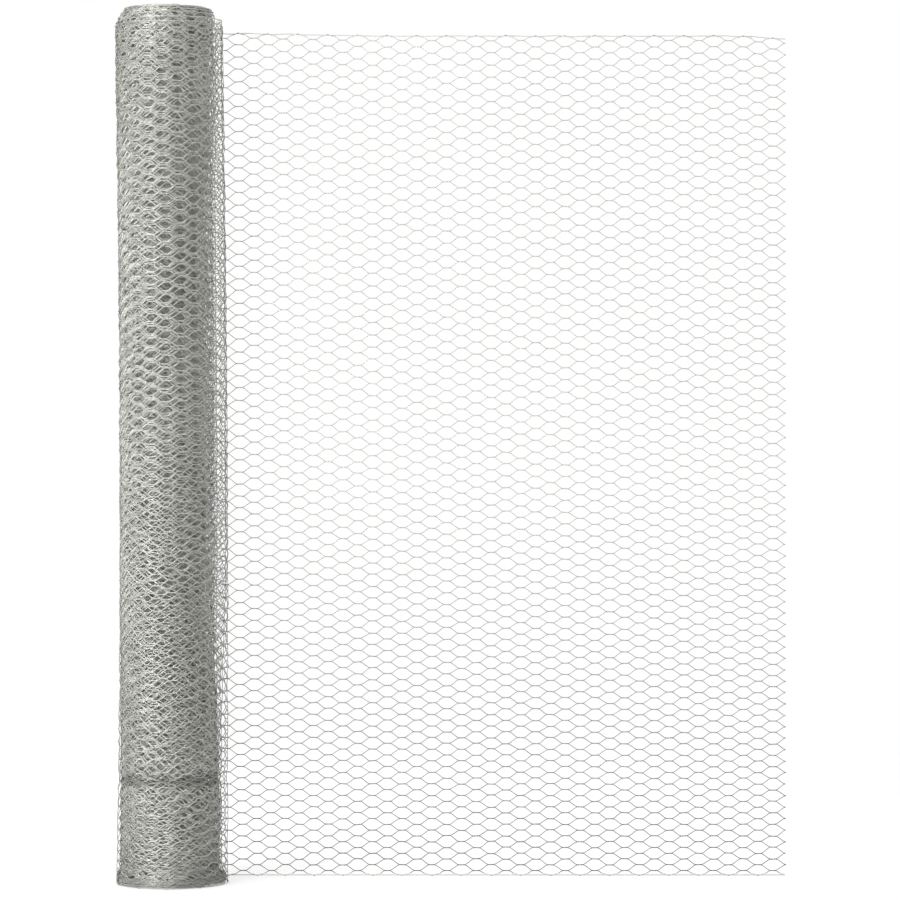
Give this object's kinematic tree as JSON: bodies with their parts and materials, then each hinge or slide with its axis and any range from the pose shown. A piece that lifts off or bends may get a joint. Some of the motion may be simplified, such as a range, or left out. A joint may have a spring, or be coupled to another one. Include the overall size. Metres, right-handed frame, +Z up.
{
  "type": "roll of hexagonal wire netting",
  "caption": "Standing roll of galvanised hexagonal wire netting with an open bore and a loose flat leaf of mesh pulled off to one side.",
  "frame": {"origin": "on the roll's axis, in the plane of its lower end, which the roll stands on", "axes": "+Z up along the bore, +X the way the loose leaf runs, +Y from the front of the roll to the leaf behind it"},
  "size_m": [0.7804, 0.1274, 1.019],
  "materials": {
    "roll_wire": "galvanised, dull zinc grey",
    "leaf_wire": "galvanised, dull zinc grey"
  },
  "bodies": {
    "root": {"netting_roll": "roll_wire", "leaf_band_1": "leaf_wire", "leaf_band_2": "leaf_wire", "leaf_band_3": "leaf_wire", "leaf_band_4": "leaf_wire", "leaf_band_5": "leaf_wire", "leaf_band_6": "leaf_wire", "leaf_band_7": "leaf_wire", "leaf_band_8": "leaf_wire"}
  },
  "joints": []
}
